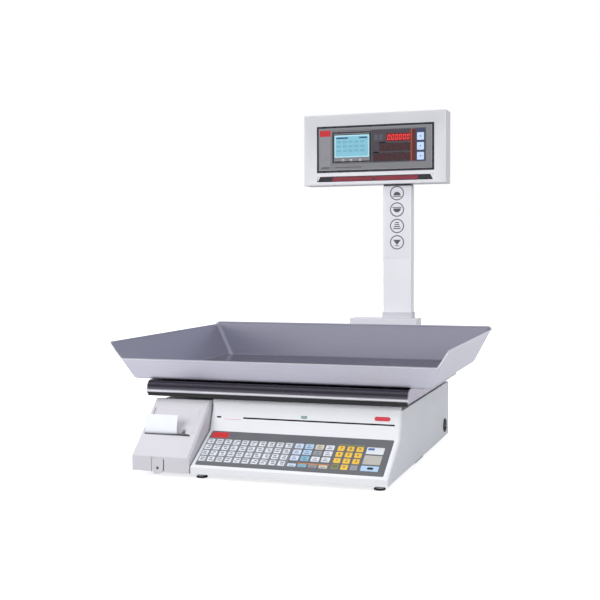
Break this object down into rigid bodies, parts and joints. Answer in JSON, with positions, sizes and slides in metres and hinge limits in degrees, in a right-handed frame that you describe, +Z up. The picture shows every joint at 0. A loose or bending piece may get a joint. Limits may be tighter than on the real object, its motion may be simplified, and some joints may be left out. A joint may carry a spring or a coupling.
{
  "type": "retail price scale",
  "caption": "Counter price scale with a sloped keypad, a pull-out label printer, a steel platter with a loose flared pan, and a swivelling display head on a post.",
  "frame": {"origin": "centre of the footprint at bench level", "axes": "+X to the operator's right, +Y away from the operator, +Z up"},
  "size_m": [0.5284, 0.53, 0.573],
  "materials": {
    "white_plastic": "fine textured off-white ABS",
    "white_plastic_drawer": "fine textured off-white ABS",
    "grey_plastic": "satin light grey plastic",
    "dark_plastic": "satin black plastic",
    "gloss_black": "polished black plastic",
    "keypad_film": "fine-grained printed polyester film",
    "badge_red": "gloss red plate",
    "lamp_green": "grey-green lamp lens",
    "stainless": "brushed stainless sheet",
    "polished_steel": "polished stainless sheet",
    "zinc_steel": "zinc plated steel",
    "cell_aluminium": "milled aluminium",
    "cast_alloy": "as-cast aluminium",
    "rubber": "matt black rubber",
    "circuit_green": "solder-masked circuit board",
    "battery_case": "dark grey battery case",
    "brass": "turned brass",
    "painted_steel": "off-white powder coat",
    "post_paint": "light grey powder coat",
    "label_film": "printed label film",
    "cable_black": "black cable sheath",
    "overlay_grey": "printed grey polycarbonate overlay",
    "lcd_glass": "lit pale blue display glass",
    "led_red": "dark red display filter",
    "strip_red": "dark red window",
    "rear_window": "smoked display window",
    "paper": "white thermal label paper",
    "head_ceramic": "thermal print head",
    "motor_steel": "motor can"
  },
  "bodies": {
    "base": {"base_tray": "zinc_steel", "housing": "white_plastic", "accent_strip": "gloss_black", "lamp_cup": "dark_plastic", "lamp_lens": "lamp_green", "badge": "badge_red", "keypad_film": "keypad_film", "keypad_board": "circuit_green", "foot_nuts": "zinc_steel", "load_cell": "cell_aluminium", "cell_base_block": "cast_alloy", "cell_screws": "zinc_steel", "stop_screw": "brass", "main_board": "circuit_green", "power_supply": "zinc_steel", "battery": "battery_case", "rear_panel": "zinc_steel", "mains_inlet": "dark_plastic", "data_ports": "zinc_steel", "switch_bezel": "gloss_black", "post_bracket": "painted_steel", "bracket_screws": "zinc_steel", "post": "post_paint", "post_boot": "grey_plastic", "post_screws": "zinc_steel", "post_label": "label_film", "post_cable": "cable_black", "swivel_collar": "dark_plastic", "drawer_rails": "dark_plastic"},
    "foot_fl": {"foot_front_left": "rubber"},
    "foot_fr": {"foot_front_right": "rubber"},
    "foot_rl": {"foot_rear_left": "rubber"},
    "foot_rr": {"foot_rear_right": "rubber"},
    "carrier": {"load_pillar": "cast_alloy", "spider": "cast_alloy", "platter_buffers": "rubber"},
    "platter": {"platter": "polished_steel"},
    "pan": {"pan": "stainless", "pan_pads": "rubber"},
    "rocker": {"switch_rocker": "gloss_black"},
    "head": {"swivel_spigot": "zinc_steel", "head_front": "white_plastic", "head_back": "white_plastic", "head_screws": "zinc_steel", "head_window": "overlay_grey", "lcd_module": "lcd_glass", "led_digits": "led_red", "head_board": "circuit_green", "strip_lens": "strip_red", "rear_window": "rear_window"},
    "drawer": {"printer_cover": "white_plastic_drawer", "printer_chassis": "zinc_steel", "roll_spindle": "grey_plastic", "paper_strip": "paper", "print_head": "head_ceramic", "feed_motor": "motor_steel"},
    "roll": {"paper_roll": "paper"},
    "platen": {"platen_roller": "rubber"},
    "pinion": {"motor_pinion": "brass"},
    "tab": {"release_tab": "white_plastic_drawer"}
  },
  "joints": [
    {"name": "foot_fl_turn", "type": "hinge", "parent": "base", "child": "foot_fl", "pos_m": [-0.0885, -0.245, 0.0055], "axis": [0, 0, 1], "continuous": true},
    {"name": "foot_fr_turn", "type": "hinge", "parent": "base", "child": "foot_fr", "pos_m": [0.174, -0.245, 0.0055], "axis": [0, 0, 1], "continuous": true},
    {"name": "foot_rl_turn", "type": "hinge", "parent": "base", "child": "foot_rl", "pos_m": [-0.16, 0.11, 0.0055], "axis": [0, 0, 1], "continuous": true},
    {"name": "foot_rr_turn", "type": "hinge", "parent": "base", "child": "foot_rr", "pos_m": [0.16, 0.11, 0.0055], "axis": [0, 0, 1], "continuous": true},
    {"name": "weigh_travel", "type": "slide", "parent": "base", "child": "carrier", "axis": [0, 0, -1], "range_m": [0, 0.0005], "stiffness_N_per_m": 600000, "deforming": ["load_cell"]},
    {"name": "platter_lift", "type": "slide", "parent": "carrier", "child": "platter", "axis": [0, 0, 1], "range_m": [0, 0.05]},
    {"name": "pan_lift", "type": "slide", "parent": "platter", "child": "pan", "axis": [0, 0, 1], "range_m": [0, 0.1]},
    {"name": "power_rocker", "type": "hinge", "parent": "base", "child": "rocker", "pos_m": [0.189, 0.139, 0.0279], "axis": [0, 1, 0], "range_deg": [0, 20]},
    {"name": "head_swivel", "type": "hinge", "parent": "base", "child": "head", "pos_m": [0.085, 0.24725, 0.4355], "axis": [0, 0, 1], "range_deg": [-160, 160]},
    {"name": "drawer_slide", "type": "slide", "parent": "base", "child": "drawer", "axis": [0, -1, 0], "range_m": [0, 0.14]},
    {"name": "platen_spin", "type": "hinge", "parent": "drawer", "child": "platen", "pos_m": [-0.15, -0.216, 0.0515], "axis": [1, 0, 0], "continuous": true},
    {"name": "pinion_spin", "type": "hinge", "parent": "drawer", "child": "pinion", "pos_m": [-0.127, -0.21913, 0.03377], "axis": [1, 0, 0], "continuous": true},
    {"name": "roll_spin", "type": "hinge", "parent": "drawer", "child": "roll", "pos_m": [-0.159, -0.147, 0.0495], "axis": [1, 0, 0], "continuous": true},
    {"name": "tab_pull", "type": "hinge", "parent": "drawer", "child": "tab", "pos_m": [-0.15, -0.2618, 0.0269], "axis": [-1, 0, 0], "range_deg": [0, 35], "stiffness_Nm_per_rad": 0.03}
  ],
  "couplings": [
    {"joint": "pinion_spin", "follows": "platen_spin", "ratio": -2},
    {"joint": "roll_spin", "follows": "platen_spin", "ratio": 0.21212}
  ]
}
